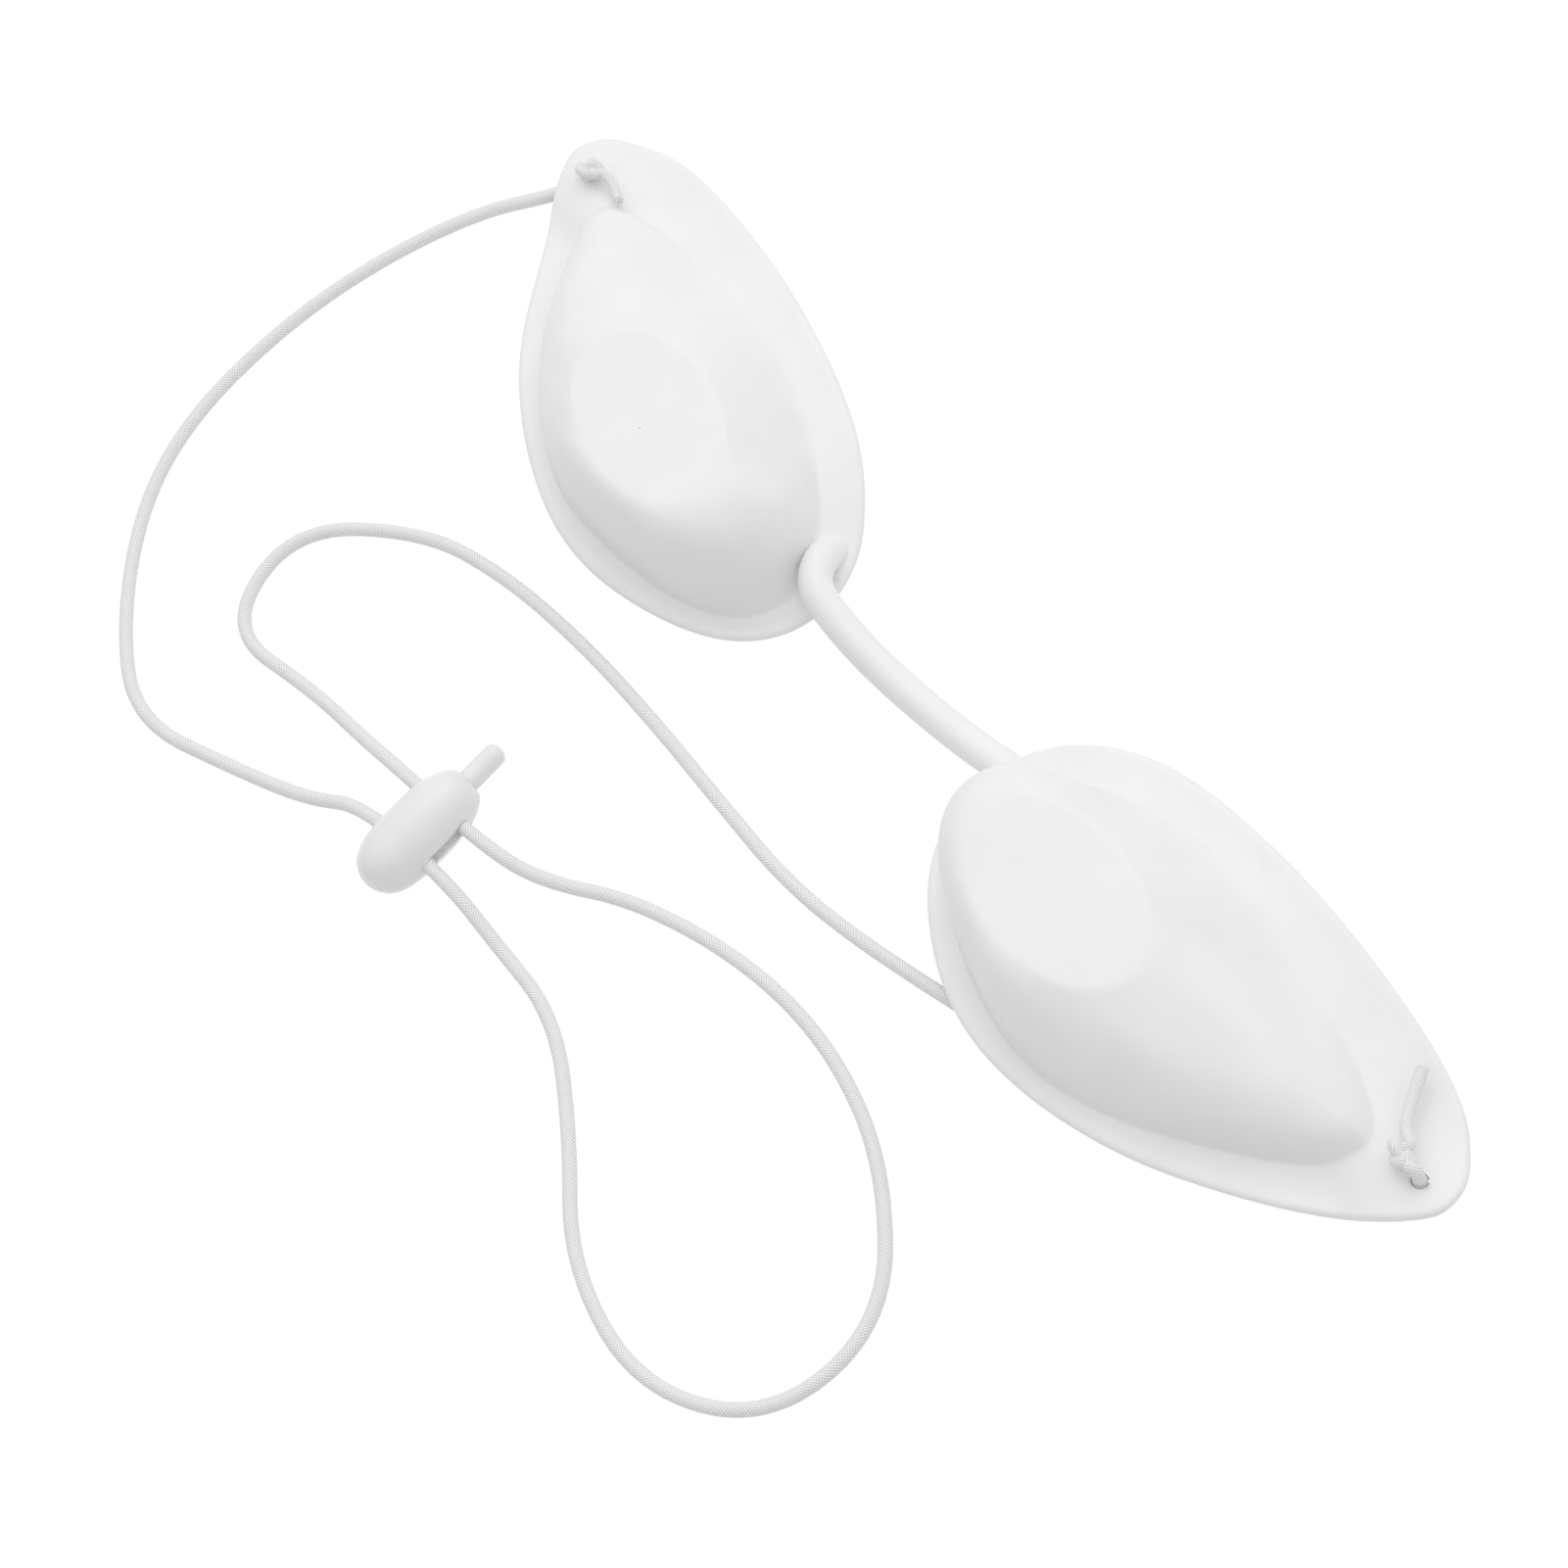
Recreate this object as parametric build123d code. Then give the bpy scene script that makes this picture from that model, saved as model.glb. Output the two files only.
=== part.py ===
from build123d import *
import math
import os

# Tanning goggles laid out on a table, convex side up.
# Frame: X runs along the goggles with the left cup at -X, Y points to the brow, Z up, table at z = 0.
# Units: millimetres and degrees.

# Cup: a soft shell with a flat-topped dome in a thin flange
cup_length = 80.0
cup_width = 40.4
cup_height = 18.5
cup_wall = 1.5
inner_flange_width = 2.7
tip_flange_width = 11.3
side_flange_width = 5.4
dome_foot_rise = 0.7
top_length = 30.0
top_width = 19.0
top_end_slope = 7.3
top_centre_y = -4.8
top_turn = -8.0
wall_round = 7.0
end_round = 3.5
wall_fullness = 2.5
lid_fall = 0.39
rim_lift = 5.6
rim_edge_inset = 0.9
ring_splines = 7

# Where each cup lies: its inner end, and the heading from there to its outer tip
right_inner_x = 17.02
right_inner_y = -1.92
right_heading = 12.6
left_inner_x = -16.08
left_inner_y = -8.61
left_heading = 170.9

# Strap: round elastic cord, a rubber core in a braided cover
strap_diameter = 1.8
strap_core_diameter = 1.0
strap_core_clearance = 0.05
strap_hole_diameter = 2.3
strap_hole_inset = 4.5
strap_hole_y = 1.0

# Nose bridge: a soft rod whose ends are bonded into the inner ends of both cups
bridge_diameter = 4.3
bridge_seat_clearance = 0.03

# Cord lock: a bean with a spring plunger across both passes of the strap
lock_length = 19.5
lock_diameter = 9.0
lock_heading = 104.2
lock_base_x = -16.4
lock_base_y = -69.5
lock_base_round = 5.2
lock_nose_round = 6.7
lock_base_flat_diameter = 6.0
lock_first_pass = 7.5
lock_pass_spacing = 6.3
pass_clearance = 0.3
mouth_flare = 0.6
mouth_depth = 1.2
shoulder_thickness = 1.6
plug_thickness = 1.4
plug_clearance = 0.02
plunger_diameter = 4.8
plunger_clearance = 0.05
plunger_end_wall = 1.2
plunger_travel = 2.0
stub_diameter = 3.0
stub_length = 4.6
stub_round = 1.2
spring_wire = 0.35
spring_diameter = 3.6
spring_turns = 4
spring_seat_clearance = 0.05

# Knots at the strap's two ends, and the cut tails beyond them
knot_diameter = 3.8
knot_length = 3.2
knot_round = 1.2
knot_seat_height = 4.3
left_knot_offset = (1.4, -0.9, 5.7)
right_knot_offset = (-2.9, 0.1, 6.5)
knot_tail_diameter = 1.7

# Outline of the rim, from the inner end round the cheek side: shares of half the cup's length, of its width,
# and of the lift of the rim off the table
rim_shares = [
    (-1.005, 0.0, 0.0), (-0.957, -0.152, 0.04), (-0.855, -0.282, 0.21), (-0.70, -0.40, 0.39),
    (-0.52, -0.49, 0.50), (-0.325, -0.535, 0.54), (-0.13, -0.538, 0.55), (0.063, -0.513, 0.57),
    (0.257, -0.463, 0.55), (0.443, -0.386, 0.43), (0.62, -0.292, 0.22), (0.77, -0.20, 0.17),
    (0.87, -0.135, 0.38), (0.94, -0.075, 0.48), (0.995, 0.0, 0.50), (0.985, 0.10, 0.38),
    (0.918, 0.183, 0.26), (0.817, 0.262, 0.29), (0.655, 0.327, 0.46), (0.47, 0.375, 0.66),
    (0.275, 0.413, 0.84), (0.072, 0.442, 0.96), (-0.13, 0.458, 1.0), (-0.33, 0.462, 0.95),
    (-0.535, 0.446, 0.82), (-0.722, 0.391, 0.57), (-0.88, 0.297, 0.23), (-0.977, 0.16, 0.03),
]
# Foot of the dome: shares of half the dome's length and of its width, one for each rim point
foot_shares = [
    (-1.0, -0.015), (-0.962, -0.15), (-0.845, -0.28), (-0.665, -0.388), (-0.462, -0.474), (-0.245, -0.537),
    (-0.033, -0.551), (0.18, -0.517), (0.395, -0.446), (0.598, -0.346), (0.773, -0.246), (0.897, -0.16),
    (0.961, -0.092), (0.991, -0.04), (1.0, 0.006), (0.979, 0.052), (0.93, 0.097), (0.845, 0.149),
    (0.703, 0.211), (0.543, 0.269), (0.379, 0.323), (0.192, 0.371), (-0.017, 0.403), (-0.245, 0.406),
    (-0.475, 0.371), (-0.68, 0.311), (-0.85, 0.229), (-0.968, 0.111),
]
# Where each level lies between the foot of the dome (0) and its flat top (1), and how high it is on the brow side
level_shares = (0.0, 0.03, 0.08, 0.15, 0.25, 0.37, 0.50, 0.64, 0.78, 0.90, 1.0)
brow_rise_shares = (0.0, 0.01, 0.035, 0.085, 0.17, 0.30, 0.455, 0.625, 0.785, 0.91, 1.0)


def ease(share):
    held = min(max(share, 0.0), 1.0)
    return held * held * (3.0 - 2.0 * held)


def place_point(point, inner_x, inner_y, heading, side):
    """From a cup's own frame to the goggles' frame; side is 1 for the right cup, -1 for the left one."""
    turn = math.radians(heading)
    x = point.X + cup_length / 2
    y = point.Y * side
    return Vector(
        inner_x + x * math.cos(turn) - y * math.sin(turn),
        inner_y + x * math.sin(turn) + y * math.cos(turn),
        point.Z,
    )


def from_hole(hole, offsets):
    """Points given by their distance from a strap hole along X and Y, and by their height."""
    return [(hole.X + x, hole.Y + y, z) for x, y, z in offsets]


strap_hole = Vector(cup_length / 2 - strap_hole_inset, strap_hole_y)
left_hole = place_point(strap_hole, left_inner_x, left_inner_y, left_heading, -1)
right_hole = place_point(strap_hole, right_inner_x, right_inner_y, right_heading, 1)
left_knot_centre = from_hole(left_hole, [left_knot_offset])[0]
right_knot_centre = from_hole(right_hole, [right_knot_offset])[0]

# The strap's route, from the knot on the left cup to the knot on the right cup
left_run_route = from_hole(left_hole, [(0, 0, knot_seat_height), (0, 0, 0.9)]) + [
    (-92.7, -2.4, 0.9), (-96.9, -11.0, 0.9), (-99.4, -25.0, 0.9), (-99.2, -40.5, 0.9), (-95.2, -57.5, 0.9),
    (-87.3, -69.6, 0.9), (-73.4, -79.4, 0.9), (-58.8, -84.6, 0.9), (-43.6, -76.2, 0.9), (-34.4, -69.4, 1.6),
    (-27.0, -64.4, 4.5), (-18.2, -62.2, 4.5),
]
tail_loop_route = [
    (-18.2, -62.2, 4.5), (-9.9, -60.1, 4.5), (-2.0, -59.3, 1.2), (11.6, -57.6, 0.9), (26.0, -63.2, 0.9),
    (40.4, -71.0, 0.9), (58.3, -71.3, 0.9), (70.8, -60.3, 0.9), (68.5, -43.2, 0.9), (52.2, -33.8, 0.9),
    (36.0, -31.5, 0.9), (20.3, -34.3, 0.9), (4.4, -41.8, 0.9), (-4.3, -50.8, 1.5), (-11.5, -54.0, 4.5),
    (-19.8, -56.1, 4.5),
]
right_run_route = [
    (-19.8, -56.1, 4.5), (-28.2, -58.2, 4.5), (-36.2, -60.2, 1.4), (-47.0, -62.7, 0.9), (-62.8, -68.6, 0.9),
    (-70.6, -54.4, 0.9), (-58.7, -40.2, 0.9), (-46.0, -34.4, 0.9), (-31.0, -30.7, 0.9), (-16.0, -28.5, 0.9),
    (-1.0, -27.0, 0.9), (14.0, -25.4, 0.9), (28.5, -21.0, 0.9), (43.0, -15.0, 0.9),
]
right_end_route = [
    (43.0, -15.0, 0.9), (55.5, -9.8, 0.9), (67.0, 0.5, 0.9), (77.5, 9.0, 0.9), (84.4, 13.1, 0.9),
] + from_hole(right_hole, [(0, 0, 0.9), (0, 0, knot_seat_height)])
left_tail_route = from_hole(left_hole, [(1.7, 0.4, 6.2), (3.8, 0.9, 6.0), (5.9, 0.6, 5.7), (8.3, -0.1, 5.8)])
right_tail_route = from_hole(
    right_hole,
    [
        (0, 0, knot_seat_height), (0, 0, 7.3), (-2.9, 0.2, 6.7), (-5.7, 1.8, 6.1), (-8.1, 4.7, 6.0),
        (-10.3, 7.5, 6.1),
    ],
)
bridge_route = [
    (-22.0, 3.4, 2.5), (-20.6, 0.4, 5.4), (-16.6, -2.8, 5.6), (-11.4, -3.0, 4.6), (-4.1, -2.0, 3.1),
    (4.8, 0.0, 2.6), (12.5, 2.1, 2.5), (20.2, 4.8, 2.5),
]


def rim_point(index):
    x, y, _ = rim_shares[index]
    return Vector(x * cup_length / 2, y * cup_width)


def foot_point(index):
    x, y = foot_shares[index]
    dome_length = cup_length - inner_flange_width - tip_flange_width
    dome_centre_x = (inner_flange_width - tip_flange_width) / 2
    return Vector(dome_centre_x + x * dome_length / 2, y * (cup_width - side_flange_width))


def top_centre():
    inner_end = -cup_length / 2 + inner_flange_width
    return Vector(inner_end + top_end_slope + top_length / 2, top_centre_y)


def top_point(index):
    """Where the ray from the middle of the flat top to the foot point leaves the top's ellipse."""
    ray = foot_point(index) - top_centre()
    level = ray.rotate(Axis.Z, -top_turn)
    reach = math.hypot(2 * level.X / top_length, 2 * level.Y / top_width)
    return top_centre() + ray * (1 / reach)


def distance_to_foot(point):
    """Shortest distance in plan from a point to the foot of the dome."""
    count = len(foot_shares)
    nearest = cup_length
    for index in range(count):
        start = foot_point(index)
        run = foot_point((index + 1) % count) - start
        share = min(max((point - start).dot(run) / run.dot(run), 0.0), 1.0)
        nearest = min(nearest, abs(point - start - run * share))
    return nearest


def dome_height(index, level):
    """Height of one level of the dome: a rounded wall under a lid that falls to the tip, or the brow slope."""
    foot, top = foot_point(index), top_point(index)
    ray = foot - top_centre()
    sideways, ahead = ray.Y / abs(ray), ray.X / abs(ray)
    foot_height = 0.8 * rim_shares[index][2] * rim_lift + cup_wall + dome_foot_rise
    rise = cup_height - foot_height
    point = foot + (top - foot) * level_shares[level]
    rounding = wall_round + (end_round - wall_round) * ease(3 * ahead - 2)
    depth = min(distance_to_foot(point) / min(rounding, distance_to_foot(top)), 1.0)
    fall = lid_fall * (0.2 + 0.8 * ease(1.5 * ahead)) * abs(top - point)
    wall = (rise - fall) * (1 - (1 - depth) ** wall_fullness) ** (1 / wall_fullness)
    slope = rise * brow_rise_shares[level]
    brow = ease(2.4 * sideways)
    return foot_height + wall * (1 - brow) + slope * brow


def cup_profile(index):
    """Outer surface from the rim's edge to the flat top, in one direction: a list of points."""
    rim, foot, top = rim_point(index), foot_point(index), top_point(index)
    rise = rim_shares[index][2] * rim_lift
    inward = (foot - rim).normalized()
    edge = [(rim, rise), (rim, rise + 0.55 * cup_wall), (rim + inward * rim_edge_inset, rise + cup_wall)]
    middle = rim * 0.5 + foot * 0.5
    edge.append((middle, rise * 0.93 + cup_wall + 0.15 * dome_foot_rise))
    wall = []
    for level, share in enumerate(level_shares):
        wall.append((foot + (top - foot) * share, dome_height(index, level)))
    return [Vector(point.X, point.Y, height) for point, height in edge + wall]


def under_profile(index):
    """Inner surface, one wall thickness under the outer one, from the middle of the flange inwards."""
    outer = cup_profile(index)
    before = cup_profile(index - 1)
    after = cup_profile((index + 1) % len(rim_shares))
    points = []
    for place in range(3, len(outer)):
        climb = outer[min(place + 1, len(outer) - 1)] - outer[place - 1]
        normal = (after[place] - before[place]).cross(climb).normalized()
        points.append(outer[place] - normal * cup_wall)
    points[-1] = Vector(points[-1].X, points[-1].Y, cup_height - cup_wall)
    return points


def ring_wire(points):
    """Closed smooth ring of a few splines that share their tangents."""
    count = len(points)
    step = count // ring_splines
    edges = []
    for first in range(0, count, step):
        last = (first + step) % count
        held = [points[(first + place) % count] for place in range(step + 1)]
        tangents = [points[(place + 1) % count] - points[place - 1] for place in (first, last)]
        edges.append(Edge.make_spline(held, tangents=tangents))
    return Wire(edges)


def make_cup(inner_x, inner_y, heading, side):
    """One closed skin: from the hollow's ceiling down to the rim, round its edge and up to the flat top."""
    count = len(rim_shares)
    outer = [cup_profile(index) for index in range(count)]
    under = [under_profile(index) for index in range(count)]
    rings = list(reversed(list(zip(*under)))) + list(zip(*outer))
    wires = []
    for ring in rings:
        wires.append(ring_wire([place_point(point, inner_x, inner_y, heading, side) for point in ring]))
    shell = Solid.make_loft(wires, ruled=True)
    hole = place_point(strap_hole, inner_x, inner_y, heading, side)
    drill = Pos(hole.X, hole.Y, knot_seat_height - cup_wall) * Cylinder(strap_hole_diameter / 2, 3 * cup_wall)
    seat = tube(bridge_route, bridge_diameter + 2 * bridge_seat_clearance)
    return shell - drill - seat


def corner_radii(route):
    """Largest arcs that the runs of a route leave room for."""
    radii = []
    for before, corner, after in zip(route, route[1:], route[2:]):
        first = Vector(*corner) - Vector(*before)
        second = Vector(*after) - Vector(*corner)
        half_turn = math.radians(first.get_angle(second)) / 2
        radii.append(0.45 * min(abs(first), abs(second)) / math.tan(half_turn))
    return radii


def route_line(route):
    return Wire(FilletPolyline(*route, radius=corner_radii(route)).edges())


def tube(route, diameter, bore=0.0):
    line = route_line(route)
    start = Plane(origin=line @ 0, z_dir=line % 0)
    section = start * Circle(diameter / 2)
    if bore:
        section -= start * Circle(bore / 2)
    return sweep(section, path=line)


def print_route(name, route):
    line = route_line(route)
    cover = tube(route, strap_diameter)
    section_volume = math.pi * strap_diameter**2 / 4 * line.length
    tightest = min(corner_radii(route))
    print(f"{name}: length {line.length:.1f}, tightest radius {tightest:.1f},", end=" ")
    print(f"volume over section times length {cover.volume / section_volume:.4f}")
    print("   radii", " ".join(f"{radius:.1f}" for radius in corner_radii(route)))


def lock_frame():
    """Local z runs from the lock's flat base to its nose, local x along both passes of the strap."""
    heading = math.radians(lock_heading)
    axis = (math.cos(heading), math.sin(heading), 0)
    across = (math.sin(heading), -math.cos(heading), 0)
    origin = (lock_base_x, lock_base_y, lock_diameter / 2)
    return Location(Plane(origin=origin, x_dir=across, z_dir=axis))


def pass_levels():
    return [lock_first_pass, lock_first_pass + lock_pass_spacing]


def across_lock(radius, length):
    return Rot(0, 90, 0) * Cylinder(radius, length)


def make_lock_body():
    radius = lock_diameter / 2
    flat = lock_base_flat_diameter / 2
    bore = plunger_diameter / 2 + plunger_clearance
    nose = stub_diameter / 2 + plunger_clearance
    lip = nose + 2 * pass_clearance
    base_bulge = (flat + 0.75 * (radius - flat), 0.36 * lock_base_round)
    nose_bulge = (lip + 0.72 * (radius - lip), lock_length - 0.3 * lock_nose_round)
    with BuildPart() as bean:
        with BuildSketch(Plane.XZ):
            with BuildLine():
                Line((0, 0), (flat, 0))
                ThreePointArc((flat, 0), base_bulge, (radius, lock_base_round))
                Line((radius, lock_base_round), (radius, lock_length - lock_nose_round))
                ThreePointArc((radius, lock_length - lock_nose_round), nose_bulge, (lip, lock_length))
                Line((lip, lock_length), (0, lock_length))
                Line((0, lock_length), (0, 0))
            make_face()
        revolve(axis=Axis.Z)
    body = bean.part
    chamber = lock_length - shoulder_thickness
    body -= Pos(0, 0, chamber / 2) * Cylinder(bore, chamber)
    body -= Pos(0, 0, lock_length) * Cylinder(nose, 4 * shoulder_thickness)
    hole = strap_diameter / 2 + pass_clearance
    for level in pass_levels():
        body -= Pos(0, 0, level) * across_lock(hole, 2 * lock_diameter)
        for end in (-1, 1):
            mouth = Rot(0, 90 * end, 0) * Cone(hole, hole + 2 * mouth_flare, 2 * mouth_depth)
            body -= Pos(end * radius, 0, level) * mouth
    return lock_frame() * body


def make_lock_plug():
    radius = plunger_diameter / 2 + plunger_clearance - plug_clearance
    return lock_frame() * (Pos(0, 0, plug_thickness / 2) * Cylinder(radius, plug_thickness))


def plunger_base():
    """Level of the plunger's inner end: below the first slot by the plunger's end wall."""
    return lock_first_pass - strap_diameter / 2 - pass_clearance - plunger_end_wall


def make_lock_plunger():
    top = lock_length - shoulder_thickness - plunger_clearance
    shaft = top - plunger_base()
    plunger = Pos(0, 0, plunger_base() + shaft / 2) * Cylinder(plunger_diameter / 2, shaft)
    stub = lock_length + stub_length - top
    button = Cylinder(stub_diameter / 2, stub)
    button = fillet(button.edges().group_by(Axis.Z)[-1], stub_round)
    plunger += Pos(0, 0, top + stub / 2) * button
    hole = strap_diameter / 2 + pass_clearance
    for level in pass_levels():
        plunger -= Pos(0, 0, level) * across_lock(hole, 2 * plunger_diameter)
        plunger -= Pos(0, 0, level + plunger_travel) * across_lock(hole, 2 * plunger_diameter)
        plunger -= Pos(0, 0, level + plunger_travel / 2) * Box(
            2 * plunger_diameter, 2 * hole, plunger_travel
        )
    return lock_frame() * plunger


def make_lock_spring():
    low = plug_thickness + spring_seat_clearance + spring_wire / 2
    high = plunger_base() - spring_seat_clearance - spring_wire / 2
    radius = (spring_diameter - spring_wire) / 2
    coil = Pos(0, 0, low) * Helix(pitch=(high - low) / spring_turns, height=high - low, radius=radius)
    start = Plane(origin=coil @ 0, z_dir=coil % 0)
    wire = sweep(start * Circle(spring_wire / 2), path=coil)
    return lock_frame() * wire


def knot_lump(centre, direction):
    """A barrel with well rounded ends, which the cord leaves along its axis."""
    barrel = Cylinder(knot_diameter / 2, knot_length)
    barrel = fillet(barrel.edges(), knot_round)
    return Location(Plane(origin=centre, z_dir=direction)) * barrel


def make_left_knot():
    knot = knot_lump(left_knot_centre, (0, 0, 1)) + tube(left_tail_route, knot_tail_diameter)
    under = Pos(left_knot_centre[0], left_knot_centre[1], knot_seat_height - knot_diameter)
    return knot - under * Box(4 * knot_diameter, 4 * knot_diameter, 2 * knot_diameter)


def make_right_knot():
    before, after = right_tail_route[1], right_tail_route[2]
    direction = Vector(*after) - Vector(*before)
    return knot_lump(right_knot_centre, direction) + tube(right_tail_route, knot_tail_diameter)


strap_routes = {
    "left_run": left_run_route,
    "tail_loop": tail_loop_route,
    "right_run": right_run_route,
    "right_end": right_end_route,
}
cover_bore = strap_core_diameter + 2 * strap_core_clearance
nodes = {
    "left_cup": make_cup(left_inner_x, left_inner_y, left_heading, -1),
    "right_cup": make_cup(right_inner_x, right_inner_y, right_heading, 1),
    "nose_bridge": tube(bridge_route, bridge_diameter),
    "left_knot": make_left_knot(),
    "right_knot": make_right_knot(),
    "lock_body": make_lock_body(),
    "lock_plug": make_lock_plug(),
    "lock_plunger": make_lock_plunger(),
    "lock_spring": make_lock_spring(),
}
for name, route in strap_routes.items():
    nodes[f"strap_{name}"] = tube(route, strap_diameter, cover_bore)
    nodes[f"strap_{name}_core"] = tube(route, strap_core_diameter)
    print_route(name, route)

os.makedirs("parts", exist_ok=True)
for name, node in nodes.items():
    export_step(node, f"parts/{name}.step")
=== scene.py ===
import math
import random

import bmesh
import bpy
from mathutils import Matrix, Vector


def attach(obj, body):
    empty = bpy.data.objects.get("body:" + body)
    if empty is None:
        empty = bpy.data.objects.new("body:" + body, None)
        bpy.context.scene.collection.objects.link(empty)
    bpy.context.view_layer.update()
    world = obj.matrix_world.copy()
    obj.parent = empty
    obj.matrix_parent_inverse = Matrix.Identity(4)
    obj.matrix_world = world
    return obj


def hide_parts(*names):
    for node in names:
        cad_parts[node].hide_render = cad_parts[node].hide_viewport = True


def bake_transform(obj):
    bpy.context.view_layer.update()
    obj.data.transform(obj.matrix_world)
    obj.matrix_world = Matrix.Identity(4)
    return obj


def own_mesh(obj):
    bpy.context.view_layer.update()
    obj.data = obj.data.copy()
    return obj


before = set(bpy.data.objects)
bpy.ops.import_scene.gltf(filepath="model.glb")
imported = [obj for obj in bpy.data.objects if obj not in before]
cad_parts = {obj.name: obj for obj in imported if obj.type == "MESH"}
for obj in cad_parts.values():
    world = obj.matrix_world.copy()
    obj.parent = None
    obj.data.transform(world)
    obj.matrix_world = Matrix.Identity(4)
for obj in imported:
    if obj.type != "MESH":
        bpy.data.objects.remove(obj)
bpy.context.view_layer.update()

# Tanning goggles on a pale table: two soft eye cups on a bent nose rod, and an elastic cord with its lock.
# Lengths are in metres and angles in degrees. X runs along the goggles and Y points to the brow.
# The table is z = 0.

# Cup
cup_length = 0.080
cup_width = 0.0404
cup_height = 0.0185
cup_wall = 0.0015
inner_flange_width = 0.0027
tip_flange_width = 0.0113
side_flange_width = 0.0054
dome_foot_rise = 0.0007
top_length = 0.028
top_width = 0.0172
top_end_slope = 0.0093
top_centre_y = -0.0040
top_turn = -8.0
wall_round = 0.0115
end_round = 0.0075
wall_fullness = 2.15
foot_round_share = 0.26
lid_fall_share = 0.39
lid_inner_share = 0.2
rim_lift = 0.0056
rim_round = 0.0005
rim_edge_inset = 0.0012
strap_hole_inset = 0.0045
strap_hole_y = 0.001
strap_hole_radius = 0.001
points_per_share = 3
cup_rounding_levels = 2

# How the dome's shape turns with the direction from the top's middle: gain on the direction, and offset
tip_brow_shares = (2.2, -0.1)
inner_brow_shares = (1.7, -0.7)
end_round_shares = (3, -2)
lid_turn_share = 1.5
# Levels across the flange, as shares of the wall's thickness, of the rim's lift and of the way to the foot
rim_edge_shares = (0.25, 0.75)
flange_middle_share = 0.5
flange_lift_share = 0.93
flange_foot_share = 0.15
foot_lift_share = 0.8
top_ring_shares = (0.94, 0.6, 0.3)
# Place in a cup's profile of the point in the middle of the flange
flange_place = 5

dome_length = cup_length - inner_flange_width - tip_flange_width
dome_centre_x = (inner_flange_width - tip_flange_width) / 2
top_centre = Vector((inner_flange_width - cup_length / 2 + top_end_slope + top_length / 2, top_centre_y))

# Where each cup lies: its inner end, the heading from there to its tip, and which way its brow side faces
cup_places = {
    "left_cup": (Vector((-0.01608, -0.00861)), 170.9, -1),
    "right_cup": (Vector((0.01702, -0.00192)), 12.6, 1),
}

# Outline of the rim, from the inner end round the cheek side: shares of half the cup's length, of its width,
# and of the lift of the rim off the table
rim_shares = [
    (-1.005, 0.0, 0.0), (-0.957, -0.152, 0.04), (-0.855, -0.282, 0.21), (-0.70, -0.40, 0.39),
    (-0.52, -0.49, 0.50), (-0.325, -0.535, 0.54), (-0.13, -0.538, 0.55), (0.063, -0.513, 0.57),
    (0.257, -0.463, 0.55), (0.443, -0.386, 0.43), (0.62, -0.292, 0.22), (0.77, -0.20, 0.17),
    (0.87, -0.135, 0.38), (0.94, -0.075, 0.48), (0.995, 0.0, 0.50), (0.985, 0.10, 0.38),
    (0.918, 0.183, 0.26), (0.817, 0.262, 0.29), (0.655, 0.327, 0.46), (0.47, 0.375, 0.66),
    (0.275, 0.413, 0.84), (0.072, 0.442, 0.96), (-0.13, 0.458, 1.0), (-0.33, 0.462, 0.95),
    (-0.535, 0.446, 0.82), (-0.722, 0.391, 0.57), (-0.88, 0.297, 0.23), (-0.977, 0.16, 0.03),
]
# Foot of the dome: shares of half the dome's length and of its width, one for each rim point
foot_shares = [
    (-1.0, -0.015), (-0.962, -0.15), (-0.845, -0.28), (-0.665, -0.388), (-0.462, -0.474), (-0.245, -0.537),
    (-0.033, -0.551), (0.18, -0.517), (0.395, -0.446), (0.598, -0.346), (0.773, -0.246), (0.897, -0.16),
    (0.961, -0.092), (0.991, -0.04), (1.0, 0.006), (0.979, 0.052), (0.93, 0.097), (0.845, 0.149),
    (0.703, 0.211), (0.543, 0.269), (0.379, 0.323), (0.192, 0.371), (-0.017, 0.403), (-0.245, 0.406),
    (-0.475, 0.371), (-0.68, 0.311), (-0.85, 0.229), (-0.968, 0.111),
]
# Where each level lies between the foot of the dome (0) and its flat top (1),
# and how high it is on the brow side
level_shares = (0.0, 0.02, 0.05, 0.09, 0.14, 0.20, 0.28, 0.37, 0.47, 0.58, 0.70, 0.82, 0.92, 1.0)
brow_rise_shares = (0.0, 0.002, 0.008, 0.02, 0.042, 0.08, 0.15, 0.245, 0.37, 0.51, 0.665, 0.815, 0.925, 1.0)

# Strap: round elastic cord in a braided cover
strap_diameter = 0.0018
braid_yarns = 12
braid_pitch = 0.0052
braid_ring_spacing = 0.0003
braid_sides = 20

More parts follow.
